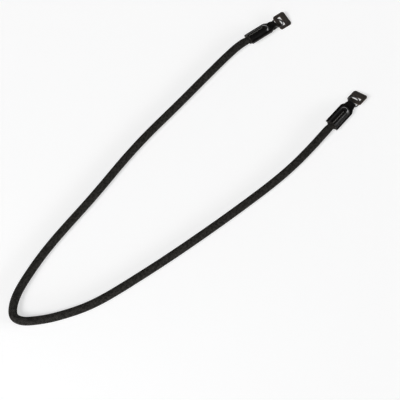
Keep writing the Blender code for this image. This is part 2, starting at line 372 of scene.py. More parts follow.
class Value:
    """A socket of a material's nodes. Arithmetic on it adds Math nodes."""

    def __init__(self, finish, socket):
        self.finish = finish
        self.socket = socket

    def __add__(self, other):
        return self.finish.math("ADD", self, other)

    def __radd__(self, other):
        return self.finish.math("ADD", other, self)

    def __sub__(self, other):
        return self.finish.math("SUBTRACT", self, other)

    def __rsub__(self, other):
        return self.finish.math("SUBTRACT", other, self)

    def __mul__(self, other):
        return self.finish.math("MULTIPLY", self, other)


class Finish:
    """A procedural material that is being made."""

    def __init__(self, name):
        self.material = bpy.data.materials.new(name)
        self.material.use_nodes = True
        self.tree = self.material.node_tree
        self.shader = self.tree.nodes["Principled BSDF"]

    def add(self, kind, settings, sockets, output=0):
        """One node: its type, its settings, then the values or links of its sockets."""
        node = self.tree.nodes.new(kind)
        for name, setting in settings.items():
            setattr(node, name, setting)
        for name, value in sockets.items():
            self.feed(node.inputs[name], value)
        return Value(self, node.outputs[output])

    def feed(self, socket, value):
        if isinstance(value, Value):
            self.tree.links.new(value.socket, socket)
        elif socket.type == "RGBA" and len(value) == 3:
            socket.default_value = (*value, 1.0)
        else:
            socket.default_value = value

    def shade(self, **sockets):
        """Values or links for the shader's own sockets, named with underscores for spaces."""
        for name, value in sockets.items():
            self.feed(self.shader.inputs[name.replace("_", " ")], value)

    def math(self, operation, *terms):
        return self.add("ShaderNodeMath", {"operation": operation}, dict(enumerate(terms)))

    def clamp(self, value):
        return self.add("ShaderNodeClamp", {}, {"Value": value})

    def smooth_step(self, value, start, end):
        settings = {"interpolation_type": "SMOOTHSTEP"}
        sockets = {"Value": value, "From Min": start, "From Max": end}
        return self.add("ShaderNodeMapRange", settings, sockets)

    def marks(self, *names):
        """The values that the mesh keeps under these names."""
        return [self.add("ShaderNodeAttribute", {"attribute_name": name}, {}, "Fac") for name in names]

    def place(self):
        """The place on the piece in its own frame, in metres."""
        return self.add("ShaderNodeTexCoord", {}, {}, "Object")

    def stretch(self, vector, scale):
        return self.add("ShaderNodeVectorMath", {"operation": "MULTIPLY"}, {0: vector, 1: scale})

    def vector(self, x, y, z):
        return self.add("ShaderNodeCombineXYZ", {}, {"X": x, "Y": y, "Z": z})

    def noise(self, vector, scale, detail=3.0, roughness=0.55, distortion=0.0):
        sockets = {"Vector": vector, "Scale": scale, "Detail": detail}
        sockets |= {"Roughness": roughness, "Distortion": distortion}
        return self.add("ShaderNodeTexNoise", {}, sockets, 0)

    def cells(self, vector, scale, feature="F1"):
        sockets = {"Vector": vector, "Scale": scale}
        return self.add("ShaderNodeTexVoronoi", {"feature": feature}, sockets, "Distance")

    def mix_colours(self, factor, one, other):
        return self.add("ShaderNodeMix", {"data_type": "RGBA"}, {0: factor, 6: one, 7: other}, 2)

    def mottle(self, pattern, start, end, colour, dark, pale):
        """The colour, from a darker tint to a paler one as the pattern steps from start to end."""
        step = self.smooth_step(pattern, start, end)
        return self.mix_colours(step, tinted(colour, dark), tinted(colour, pale))

    def bump(self, height, distance, strength=1.0):
        sockets = {"Height": height, "Distance": distance, "Strength": strength}
        return self.add("ShaderNodeBump", {}, sockets)


def braid_finish(settings):
    """Matt black spun yarn with fine filaments along it. Its tops are greyer, partly from rubbed wear and
    partly from a painted highlight. It sinks to painted shade in the hollows and is darker towards its two
    ends.
    """
    finish = Finish("braid_black_yarn")
    across, along, lift, tone = finish.marks("across", "along", "lift", "tone")
    streaks = finish.vector(across * 8000.0 + along * 1500.0, along * 420.0, tone * 90.0)
    filaments = finish.noise(streaks, 1.0, 2.0, 0.6)
    patches = finish.noise(finish.vector(along * 40.0, tone * 60.0, 0.0), 1.0, 2.0)
    specks = finish.smooth_step(finish.noise(finish.place(), 360.0, 1.0), 0.38, 0.64)
    towards_ends = finish.add("ShaderNodeSeparateXYZ", {}, {"Vector": finish.place()}, "Y")
    # The yarn is made up to 18% darker towards the two ends, which lie at high +Y.
    darker_near_ends = finish.smooth_step(towards_ends, 0.06, 0.2)
    # Painted light: only a yarn's top takes the yarn colour, partly rubbed wear and partly a painted
    # highlight; lower down it falls to the hollow colour, a painted shade.
    worn = finish.smooth_step(lift + (filaments - 0.5) * 0.3, 0.74, 1.0)
    shade = worn * (0.22 + tone * 0.3 + patches * 0.4 + specks * 0.6) * (1.0 - darker_near_ends * 0.18)
    finish.shade(
        Base_Color=finish.mix_colours(finish.clamp(shade), settings.hollow_shade_colour, settings.yarn_colour),
        Roughness=finish.clamp(0.74 + (filaments - 0.5) * 0.4),
        Specular_IOR_Level=0.06,
        Sheen_Weight=0.03,
        Sheen_Roughness=0.45,
        Sheen_Tint=(0.75, 0.74, 0.68, 1.0),
        Normal=finish.bump(filaments, 0.00013, 1.0),
    )
    return finish.material


def core_finish():
    """The cord's filling, which only shows as darkness between the yarns."""
    finish = Finish("braid_core")
    speckle = finish.noise(finish.place(), 2200.0, 2.0)
    colour = finish.mix_colours(speckle, (0.002, 0.002, 0.002), (0.006, 0.006, 0.0055))
    finish.shade(
        Base_Color=colour,
        Roughness=0.75 + speckle * 0.2,
        Specular_IOR_Level=0.1,
        Normal=finish.bump(speckle, 0.0002, 0.5),
    )
    return finish.material


def sleeve_finish(settings):
    """Smooth dyed leather: fine pores and folds, rubbed paler along edges, polished where handled, and
    darkened by painted shade in the stitch holes, the sewn valley and the crease.
    """
    finish = Finish("black_leather_sleeve")
    place = finish.place()
    rim, pressed_and_shaded, handled = finish.marks("rim", "pressed_and_shaded", "handled")
    drift = finish.noise(place, 260.0, 3.0)
    pores = finish.cells(place, 3400.0)
    folds = finish.cells(finish.stretch(place, (1.0, 0.7, 1.0)), 1900.0, "DISTANCE_TO_EDGE")
    fold_lines = finish.smooth_step(folds, 0.0, 0.16)
    fibres = finish.noise(place, 5200.0, 2.0, 0.6)
    rubbed = finish.smooth_step(rim + (drift - 0.5) * 0.9, 0.35, 1.0)
    mottled = finish.mottle(drift, 0.3, 0.75, settings.sleeve_colour, 0.7, 1.35)
    edged = finish.mix_colours(rubbed * 0.75, mottled, settings.rubbed_colour)
    # Painted shade: the leather's colour darkens nearly to black in the stitch holes, the sewn valley and
    # the crease.
    colour = finish.mix_colours(finish.clamp(pressed_and_shaded * 0.7), edged, (0.0025, 0.0022, 0.002))
    relief = fold_lines * 0.55 + finish.smooth_step(pores, 0.0, 0.35) * 0.35 + fibres * 0.22
    polish = 0.42 + (drift - 0.5) * 0.22 + pressed_and_shaded * 0.2 - rubbed * 0.06
    finish.shade(
        Base_Color=colour,
        Roughness=finish.clamp(polish + (1.0 - fold_lines) * 0.12),
        Specular_IOR_Level=0.05,
        Coat_Weight=finish.clamp(0.11 + handled * 0.89 - pressed_and_shaded * 0.1 + (drift - 0.5) * 0.06),
        Coat_Roughness=0.18,
        Coat_IOR=1.8,
        Normal=finish.bump(relief, 0.00004, 0.6),
    )
    return finish.material


def thread_finish(settings):
    """Waxed thread in three plies, with a dull shine on its tops and painted shade in the grooves between
    the plies.
    """
    finish = Finish("waxed_black_thread")
    around, along, lift = finish.marks("around", "along", "lift")
    twist = finish.vector(around * 14.0 + along * 3800.0, along * 1500.0, lift * 3.0)
    fibres = finish.noise(twist, 1.0, 2.0)
    # Painted shade: the grooves between the plies fall to 0.3 of the thread's colour.
    dark = tinted(settings.thread_colour, 0.3)
    ply = finish.smooth_step(lift + (fibres - 0.5) * 0.5, 0.1, 0.95)
    finish.shade(
        Base_Color=finish.mix_colours(ply, dark, settings.thread_colour),
        Roughness=finish.clamp(0.48 + (fibres - 0.5) * 0.3),
        Specular_IOR_Level=0.4,
        Normal=finish.bump(fibres, 0.00004, 0.8),
    )
    return finish.material


def steel_finish(settings):
    """Dark plated spring wire, drawn fine along its length and rubbed bright along its corners."""
    finish = Finish("dark_plated_steel")
    around, along, corner = finish.marks("around", "along", "corner")
    drawn = finish.noise(finish.vector(around * 60.0, along * 220.0, 0.0), 1.0, 3.0, 0.6)
    dull = finish.noise(finish.place(), 700.0, 3.0)
    body = finish.mottle(dull, 0.25, 0.8, settings.steel_colour, 0.55, 1.05)
    bright = finish.smooth_step(corner + (dull - 0.5) * 1.1, 0.55, 1.0)
    finish.shade(
        Base_Color=finish.mix_colours(bright * 0.7, body, (0.42, 0.41, 0.40)),
        Metallic=1.0,
        Roughness=finish.clamp(settings.steel_roughness + (drawn - 0.5) * 0.3 + dull * 0.12),
        Normal=finish.bump(drawn, 0.00002, 0.6),
    )
    return finish.material


def pad_finish(settings):
    """Brownish-black leather with fine lines rolled across it, paler and browner on its worn edges."""
    finish = Finish("pad_brown_black_leather")
    place = finish.place()
    (rim,) = finish.marks("rim")
    drift = finish.noise(place, 210.0, 3.0)
    grain = finish.cells(finish.stretch(place, (0.55, 1.0, 1.0)), 1900.0, "DISTANCE_TO_EDGE")
    grain_lines = finish.smooth_step(grain, 0.0, 0.18)
    rolled = finish.noise(finish.stretch(place, (150.0, 3300.0, 150.0)), 1.0, 2.0, 0.5, 0.4)
    fibres = finish.noise(place, 4200.0, 2.0, 0.6)
    mottled = finish.mottle(drift, 0.28, 0.75, settings.pad_colour, 0.6, 1.35)
    lines = finish.smooth_step(rolled, 0.5, 0.72) * 0.3
    lined = finish.mix_colours(lines, mottled, tinted(settings.pad_colour, 1.6))
    worn = finish.smooth_step(rim + (drift - 0.5) * 0.9 + (fibres - 0.5) * 0.3, 0.3, 1.0)
    relief = grain_lines * 0.5 + rolled * 0.6 + fibres * 0.3
    finish.shade(
        Base_Color=finish.mix_colours(worn * 0.8, lined, settings.pad_edge_colour),
        Roughness=finish.clamp(0.62 + (drift - 0.5) * 0.2 - worn * 0.1 + (fibres - 0.5) * 0.15),
        Specular_IOR_Level=0.35,
        Normal=finish.bump(relief, 0.00009, 0.8),
    )
    return finish.material


def floor_finish(settings):
    """A plain pale matt surface with a trace of tooth, which gives off some light of its own."""
    finish = Finish("pale_floor")
    place = finish.place()
    tooth = finish.noise(place, 900.0, 2.0)
    cloud = finish.noise(place, 1.3, 2.0)
    colour = settings.floor_colour
    finish.shade(
        Base_Color=finish.mix_colours(cloud, tinted(colour, 0.992), colour),
        Roughness=0.85 + tooth * 0.1,
        Specular_IOR_Level=0.1,
        Emission_Color=(1.0, 1.0, 1.0),
        Emission_Strength=settings.floor_glow,
        Normal=finish.bump(tooth, 0.00002, 0.15),
    )
    return finish.material


# Shapes.


def ease(value, start, end):
    """0 before start, 1 after end, and a smooth step between them."""
    part = np.clip((np.asarray(value, float) - start) / (end - start), 0.0, 1.0)
    return part * part * (3 - 2 * part)


def hump(value, half_width):
    """1 at zero, and a smooth fall to nearly nothing at twice the half width."""
    return np.exp(-((np.asarray(value, float) / half_width) ** 2))


def unit(vectors):
    return vectors / np.linalg.norm(vectors, axis=-1, keepdims=True)


def quad_mesh(name, points, quads, marks=None, sheet=None):
    """A smooth mesh of quads. Marks are values for each point, and the sheet is a map for baking."""
    mesh = bpy.data.meshes.new(name)
    mesh.vertices.add(len(points))
    mesh.vertices.foreach_set("co", np.ascontiguousarray(points, np.float32).ravel())
    mesh.loops.add(quads.size)
    mesh.loops.foreach_set("vertex_index", np.ascontiguousarray(quads, np.int32).ravel())
    mesh.polygons.add(len(quads))
    mesh.polygons.foreach_set("loop_start", np.arange(0, quads.size, 4, dtype=np.int32))
    mesh.update(calc_edges=True)
    mesh.validate()
    for mark, values in (marks or {}).items():
        layer = mesh.attributes.new(mark, "FLOAT", "POINT")
        layer.data.foreach_set("value", np.ascontiguousarray(values, np.float32).ravel())
    if sheet is not None:
        layer = mesh.uv_layers.new(name="OFBake")
        layer.data.foreach_set("uv", np.ascontiguousarray(sheet, np.float32).ravel())
    mesh.shade_smooth()
    return mesh


def tube_quads(rings, sides):
    """Quads of a tube of this many rings, whose points are numbered ring by ring."""
    ring, side = np.meshgrid(np.arange(rings - 1), np.arange(sides), indexing="ij")
    after = (side + 1) % sides
    one = ring * sides
    other = (ring + 1) * sides
    return np.stack([one + side, other + side, other + after, one + after], axis=-1).reshape(-1, 4)


def put(name, data):
    """An object of this data, in the scene."""
    thing = bpy.data.objects.new(name, data)
    bpy.context.scene.collection.objects.link(thing)
    return thing


def show(name, mesh, material, place, stands_for):
    """A piece at its place, riding on the strap's one body, which stands for these CAD nodes."""
    mesh.materials.append(material)
    piece = put(name, mesh)
    piece.matrix_world = place
    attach(piece, "root")
    if stands_for:
        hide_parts(*stands_for)
    return piece


class CordLine:
    """The smooth line through ROUTE that the cord's middle follows, read by the distance along it."""

    def __init__(self):
        knots = np.array(ROUTE)
        step = np.linalg.norm(np.diff(knots, axis=0), axis=1)
        slope = np.diff(knots, axis=0) / step[:, None]
        system = np.eye(len(knots))
        pull = np.zeros_like(knots)
        for i in range(1, len(knots) - 1):
            system[i, i - 1 : i + 2] = step[i - 1], 2 * (step[i - 1] + step[i]), step[i]
            pull[i] = 6 * (slope[i] - slope[i - 1])
        bend = np.linalg.solve(system, pull)
        dense = []
        for i, length in enumerate(step):
            for part in np.linspace(0.0, 1.0, STEPS_BETWEEN_KNOTS, endpoint=False):
                before = part**3 - part
                after = (1 - part) ** 3 - (1 - part)
                curl = (bend[i] * after + bend[i + 1] * before) * length**2 / 6
                dense.append(knots[i] * (1 - part) + knots[i + 1] * part + curl)
        self.points = np.array([*dense, knots[-1]])
        self.points[:, 2] = np.maximum(self.points[:, 2], LYING_Z)
        gone = np.linalg.norm(np.diff(self.points, axis=0), axis=1)
        self.distance = np.concatenate([[0.0], np.cumsum(gone)])
        self.length = float(self.distance[-1])
        self.heading = unit(np.gradient(self.points, self.distance, axis=0))

    def swell(self, at):
        """How much the cord's radius has grown at these distances, outside the sleeves that squeeze it."""
        from_tip = np.minimum(at, self.length - at)
        return ROPE_SWELL * ease(from_tip, SWELL_FROM, SWELL_FULL)

    def read(self, at, table):
        return np.stack([np.interp(at, self.distance, table[:, axis]) for axis in range(3)], axis=-1)

    def frames(self, at):
        """Points at these distances, and the directions ahead, to the right and up."""
        ahead = unit(self.read(at, self.heading))
        right = unit(np.cross(ahead, (0.0, 0.0, 1.0)))
        points = self.read(at, self.points)
        points[..., 2] += self.swell(at)
        return points, ahead, right, np.cross(right, ahead)


def yarn_points(line, settings, way, yarns):
    """Points of the yarns that wind one way, and their marks: yarn by yarn, ring by ring."""
    crossing = settings.stitch / CROSSINGS_A_REPEAT
    repeats = int((line.length - 2 * YARNS_FROM_TIP) / settings.stitch)
    start = (line.length / settings.stitch - repeats) / 2 * CROSSINGS_A_REPEAT
    middle = 0.5 - 2 * yarns if way > 0 else 2 * yarns - 2.5
    first = start + (middle - start) % CROSSINGS_A_REPEAT
    repeat = np.arange(repeats) * CROSSINGS_A_REPEAT
    place = np.array([ring[0] for ring in YARN_RINGS])
    rise = np.tile([ring[1] for ring in YARN_RINGS], repeats)
    count = first[:, None] + (repeat[:, None] + place[None, :]).reshape(1, -1)
    turn = math.tau * yarns[:, None] / YARNS_EACH_WAY + way * math.pi * count / YARNS_EACH_WAY
    centre, ahead, right, up = line.frames(count * crossing)
    outward = np.cos(turn)[..., None] * right + np.sin(turn)[..., None] * up
    sideways = np.cos(turn)[..., None] * up - np.sin(turn)[..., None] * right
    highest = settings.rise + settings.yarn_height / 2 * math.sin(YARN_SECTION[1])
    radius = ROPE_RADIUS - highest + settings.rise * rise + line.swell(count * crossing)
    lean = way * math.pi / YARNS_EACH_WAY / crossing
    direction = unit(ahead + sideways * (lean * radius)[..., None])
    beside = np.cross(direction, outward)
    half_width = settings.yarn_width / 2 * (YARN_WIDTH_SHARES[0] + YARN_WIDTH_SHARES[1] * rise)
    section = np.array(YARN_SECTION)
    across = np.cos(section)[None, :] * half_width[:, None]
    raised = np.sin(section)[None, :] * settings.yarn_height / 2 * np.ones_like(half_width)[:, None]
    points = (centre + outward * radius[..., None])[:, :, None, :]
    points = points + beside[:, :, None, :] * across[None, :, :, None]
    points = points + outward[:, :, None, :] * raised[None, :, :, None]
    height = (rise * settings.rise)[:, None] + raised
    lift = (height + highest) / (2 * highest)
    along = count * crossing * math.hypot(1.0, lean * ROPE_RADIUS)
    return points, across, np.clip(lift, 0.0, 1.0), along


def yarn_sheet(along, sides, yarns):
    """A bake map that lays each yarn out in a few long rows, for every corner of every quad."""
    rings = along.shape[1]
    a_row = math.ceil((rings - 1) / SHEET_ROWS)
    row = np.minimum(np.arange(rings - 1) // a_row, SHEET_ROWS - 1)
    base = along[:, np.minimum(row * a_row, rings - 1)]
    longest = max(float((along[:, 1:] - base).max()), 1e-6)
    left = (along[:, :-1] - base) / longest
    right = (along[:, 1:] - base) / longest
    rows = SHEET_ROWS * yarns
    bottom = (np.arange(yarns)[:, None] * SHEET_ROWS + row[None, :]) / rows
    side = np.arange(sides)
    margin, fill = SHEET_UP
    low = bottom[..., None] + (margin + fill * side / sides) / rows
    high = bottom[..., None] + (margin + fill * (side + 1) / sides) / rows
    margin, fill = SHEET_ALONG
    left = np.broadcast_to(margin + fill * left[..., None], low.shape)
    right = np.broadcast_to(margin + fill * right[..., None], low.shape)
    corners = [(left, low), (right, low), (right, high), (left, high)]
    return np.stack([np.stack(corner, axis=-1) for corner in corners], axis=-2)


def strip_half_width(y):
    """Half the leather strip's width: the sleeve, its rounded shoulder, and the tapering tab."""
    shoulder = ease(y, SLEEVE_STRAIGHT, TAB_START)
    taper = np.clip((y - TAB_START) / (END_LENGTH - LEATHER - TAB_START), 0.0, 1.0)
    width = SLEEVE_HALF_WIDTH + (TAB_HALF_WIDTH - SLEEVE_HALF_WIDTH) * shoulder
    return width + (FOLD_HALF_WIDTH - TAB_HALF_WIDTH) * taper


def droop(y):
    """How far the strip's middle plane has sunk below the sleeve's axis."""
    bending = DROOP_SLOPE * (y - DROOP_FROM) ** 2 / (2 * (DROOP_FULL - DROOP_FROM))
    straight = DROOP_SLOPE * (y - (DROOP_FROM + DROOP_FULL) / 2)
    return np.where(y < DROOP_FROM, 0.0, np.where(y < DROOP_FULL, bending, straight))


def wall_height(distance, radius, flange):
    """Height of a leather face: a circle round the cord that sweeps out into the flat flange."""
    steepest = WALL_STEEPEST * radius
    top = math.sqrt(radius**2 - steepest**2)
    round_part = np.sqrt(np.maximum(radius**2 - np.minimum(distance, steepest) ** 2, 0.0))
    span = 2 * (top - flange) * top / steepest
    left = np.clip(1 - (distance - steepest) / span, 0.0, 1.0)
    return np.where(distance <= steepest, round_part, flange + (top - flange) * left**2)


def rounding(inset, radius):
    """How far a rounded edge has fallen at this inset from it."""
    short = np.clip(radius - inset, 0.0, radius)
    return radius - np.sqrt(np.maximum(radius**2 - short**2, 0.0))


def seam_holes():
    return [SEAM_FIRST_HOLE + SEAM_PITCH * k for k in range(SEAM_HOLES)]


def sleeve_relief(x, y, inset):
    """How deep the sewn valley, the holes in it and the crease along the edge are, and a mask of where
    they are, along which the leather's colour is darkened as painted shade.
    """
    last = seam_holes()[-1]
    in_seam = ease(y, *VALLEY_BEGINS) * (1 - ease(y, last + VALLEY_ENDS[0], last + VALLEY_ENDS[1]))
    valley = VALLEY_DEPTH * hump(x, VALLEY_HALF_WIDTH) * in_seam
    holes = sum(hump(np.hypot(x, y - hole), HOLE_RADIUS) for hole in seam_holes())
    crease = hump(inset - CREASE_INSET, CREASE_WIDTH)
    depth = valley + HOLE_DEPTH * holes + CREASE_DEPTH * crease
    return depth, np.clip(0.9 * holes + 0.5 * crease + 0.3 * valley / VALLEY_DEPTH, 0.0, 1.0)


def strip_rows():
    """The strip's cross rows from the upper mouth round the fold to the lower mouth.

    Each row is a place along the sleeve and the angle over +Y that its outer face looks to, with 1
    where the row is on the fold.
    """
    first = BORDER[ROWS_AT_MOUTH]
    even = np.linspace(first, FOLD_CENTRE, round((FOLD_CENTRE - first) / ROW_STEP))
    flat = np.concatenate([BORDER[:ROWS_AT_MOUTH], even])
    fold = np.full(len(FOLD_ANGLES), FOLD_CENTRE)
    quarter = np.full(len(flat), math.pi / 2)
    place = np.concatenate([flat, fold, flat[::-1]])
    angle = np.concatenate([quarter, FOLD_ANGLES, -quarter])
    on_fold = np.concatenate([np.zeros(len(flat)), np.ones(len(fold)), np.zeros(len(flat))])
    return place, angle, on_fold


def strip_columns(half_width):
    """Places across the strip, close together along both borders and even between them."""
    border = np.array(BORDER)
    inside = np.linspace(-1.0, 1.0, COLUMNS_BETWEEN_BORDERS + 2)[1:-1]
    within = half_width[:, None] - border[-1]
    left = -half_width[:, None] + border[None, :]
    return np.concatenate([left, inside[None, :] * within, -left[:, ::-1]], axis=1)


def leather_end_mesh(side):
    """The folded strip of one end: its outer face, its inner face, and the cut edges between them."""
    y, angle, on_fold = strip_rows()
    half_width = strip_half_width(y)
    x = strip_columns(half_width)
    y = np.broadcast_to(y[:, None], x.shape)
    inset = half_width[:, None] - np.abs(x)
    edge = np.minimum(inset, np.where(on_fold[:, None] > 0, 1.0, y))
    distance = np.hypot(x, np.maximum(0.0, y - DOME_START))
    opening = ease(y, EYE_START - EYE_RISE, EYE_START)
    eye_height = EYE_HALF_HEIGHT - GAP / 2
    eye = np.where(on_fold[:, None] > 0, eye_height, eye_height * opening)
    inner = wall_height(distance, HUG_RADIUS, SEAM_PARTING)
    inner = inner + (GAP / 2 - SEAM_PARTING) * opening
    inner = inner + eye + rounding(edge, INNER_EDGE_ROUND)
    outer = wall_height(distance, SLEEVE_RADIUS, GAP / 2 + LEATHER) + eye
    depth, pressed_and_shaded = sleeve_relief(x, y, inset)
    outer = outer - rounding(edge, OUTER_EDGE_ROUND) - depth
    ahead_share, up_share = np.cos(angle)[:, None], np.sin(angle)[:, None]
    faces = []
    for height in (outer, inner):
        ahead = y + height * ahead_share
        up = height * up_share - droop(ahead)
        faces.append(np.stack([side * x, ahead, up], axis=-1))
    rows, columns = x.shape
    points = np.concatenate([face.reshape(-1, 3) for face in faces])
    rim = hump(edge, RIM_WIDTH).ravel()
    handled = ease(y, *HANDLED_ALONG) * (1 - ease(distance, *HANDLED_ROUND))
    none = np.zeros(rows * columns)
    # The pressed mark also tells the material where to paint shade into the holes, the valley and the
    # crease.
    marks = {
        "rim": np.concatenate([rim, rim]),
        "pressed_and_shaded": np.concatenate([pressed_and_shaded.ravel(), none]),
        "handled": np.concatenate([handled.ravel(), none]),
    }
    return quad_mesh("leather_end", points, strip_quads(rows, columns, side), marks)


def strip_quads(rows, columns, side):
    """Quads of a strip with two faces of rows by columns points, closed round its edges."""
    below = rows * columns
    row, column = np.meshgrid(np.arange(rows - 1), np.arange(columns - 1), indexing="ij")
    first = (row * columns + column).ravel()
    outer = np.stack([first, first + 1, first + columns + 1, first + columns], axis=1)
    inner = outer[:, ::-1] + below
    bank = []
    for column in (0, columns - 1):
        one = np.arange(rows - 1) * columns + column
        quad = np.stack([one, one + columns, one + columns + below, one + below], axis=1)
        bank.append(quad if column == 0 else quad[:, ::-1])
    for row in (0, rows - 1):
        one = row * columns + np.arange(columns - 1)
        quad = np.stack([one, one + below, one + 1 + below, one + 1], axis=1)
        bank.append(quad if row == 0 else quad[:, ::-1])
    quads = np.concatenate([outer, inner, *bank])
    return quads if side > 0 else quads[:, ::-1]


def stitch_line(side, over, first, last):
    """The middle of one stitch from hole to hole, lying in the valley of the upper or lower wall."""
    along = np.linspace(0.0, 1.0, STITCH_POINTS)
    y = first + (last - first) * along
    floor = SLEEVE_RADIUS - VALLEY_DEPTH * (1 - ease(y, *STITCH_CLIMB))
    height = floor + STITCH_LIFT - STITCH_SUNK * (hump(along, STITCH_DIVE) + hump(1 - along, STITCH_DIVE))
    lean = STITCH_LEAN * np.sin(math.pi * (along - 0.5))
    return np.stack([side * over * (lean - STITCH_ASIDE), y, over * height], axis=-1)


def stitching_mesh(side, settings):
    """All the stitches of one end as one mesh, each a length of twisted three-ply thread."""
    around = math.tau * np.arange(THREAD_SIDES) / THREAD_SIDES
    holes = seam_holes()
    lines = [stitch_line(side, over, a, b) for over in (1, -1) for a, b in zip(holes, holes[1:])]
    points, quads, marks = [], [], {"around": [], "along": [], "lift": []}
    for line in lines:
        ahead = unit(np.gradient(line, axis=0))
        right = unit(np.cross(ahead, (0.0, 0.0, 1.0)))
        up = np.cross(right, ahead)
        along = np.linspace(0.0, SEAM_PITCH, len(line))
        plies = np.cos(THREAD_PLIES * (around[None, :] - along[:, None] * math.tau / THREAD_TWIST))
        radius = settings.thread_width / 2 * (THREAD_WIDTH_SHARES[0] + THREAD_WIDTH_SHARES[1] * plies)
        spread = right[:, None, :] * np.cos(around)[None, :, None]
        spread = spread + up[:, None, :] * np.sin(around)[None, :, None]
        quads.append(tube_quads(len(line), THREAD_SIDES) + sum(len(part) for part in points))
        points.append((line[:, None, :] + spread * radius[..., None]).reshape(-1, 3))
        marks["around"].append(np.broadcast_to(np.cos(around), radius.shape).ravel())
        marks["along"].append(np.broadcast_to(along[:, None], radius.shape).ravel())
        marks["lift"].append((0.5 + 0.5 * plies).ravel())
    marks = {name: np.concatenate(parts) for name, parts in marks.items()}
    return quad_mesh("stitching", np.concatenate(points), np.concatenate(quads), marks)


def split_ring_mesh(side):
    """Flat wire with rounded corners, wound nearly twice round, whose ends are filed to a slope."""
    corners, rubbed = [], []
    for sx, sz, begin in ((1, 1, 0), (-1, 1, 90), (-1, -1, 180), (1, -1, 270)):
        for turn in (0, 30, 60, 90):
            angle = math.radians(begin + turn)
            across = sx * (WIRE_WIDTH / 2 - WIRE_CORNER) + WIRE_CORNER * math.cos(angle)
            up = sz * (WIRE_THICKNESS / 2 - WIRE_CORNER) + WIRE_CORNER * math.sin(angle)
            corners.append((across, up))
            rubbed.append(1.0 if turn in (30, 60) else 0.35)
    corners = np.array(corners)
    sweep = np.linspace(0.0, WIRE_SWEEP, WIRE_STEPS)
    turn = WIRE_CROSSOVER_FACES - sum(WIRE_CROSSOVER) / 2 + sweep
    middle = RING_RADIUS - WIRE_WIDTH / 2
    level = (WIRE_THICKNESS + WIRE_PARTING) / 2
    height = level - 2 * level * ease(sweep, *WIRE_CROSSOVER)
    from_end = np.minimum(sweep, WIRE_SWEEP - sweep) * middle
    slim = WIRE_END_SHARES[0] + WIRE_END_SHARES[1] * ease(from_end, *WIRE_END_SLOPE)
    radius = middle + corners[None, :, 0] * slim[:, None]
    x = side * radius * np.cos(turn)[:, None]
    y = radius * np.sin(turn)[:, None]
    z = height[:, None] + corners[None, :, 1] * slim[:, None]
    points = np.stack([x, y, z], axis=-1).reshape(-1, 3)
    sides = len(corners)
    quads = np.concatenate([tube_quads(WIRE_STEPS, sides), end_caps(WIRE_STEPS, sides)])
    quads = quads[:, ::-1] if side > 0 else quads
    around = corners[None, :, 1] / WIRE_THICKNESS + corners[None, :, 0] / WIRE_WIDTH
    marks = {"along": (sweep * middle)[:, None], "around": around, "corner": rubbed}
    marks = {name: np.broadcast_to(values, x.shape) for name, values in marks.items()}
    return quad_mesh("split_ring", points, quads, marks)


def end_caps(rings, sides):
    """Quads over both open ends of a tube whose sides are an even number, laid across like a ladder."""
    rungs = []
    for base, turned in ((0, False), ((rings - 1) * sides, True)):
        for k in range(sides // 2 - 1):
            rung = [base + k, base + k + 1, base + sides - 2 - k, base + sides - 1 - k]
            rungs.append(rung[::-1] if turned else rung)
    return np.array(rungs)


def rounded_outline(x, near, far, corner, count):
    """Points round a rectangle with round corners, each seen from its middle at an even angle."""
    angles = math.tau * (np.arange(count) + 0.5) / count
    middle = (near + far) / 2
    depth = (far - near) / 2
    points = []
    for angle in angles:
        way = np.array([math.cos(angle) * x, math.sin(angle) * depth])
        low, high = 0.0, 1.5
        for _ in range(OUTLINE_HALVINGS):
            part = (low + high) / 2
            spot = np.abs(way * part)
            over = spot - np.array([x - corner, depth - corner])
            outside = math.hypot(max(over[0], 0.0), max(over[1], 0.0)) + min(max(over), 0.0) - corner
            low, high = (low, part) if outside > 0 else (part, high)
        points.append((way[0] * low, middle + way[1] * low))
    return np.array(points)


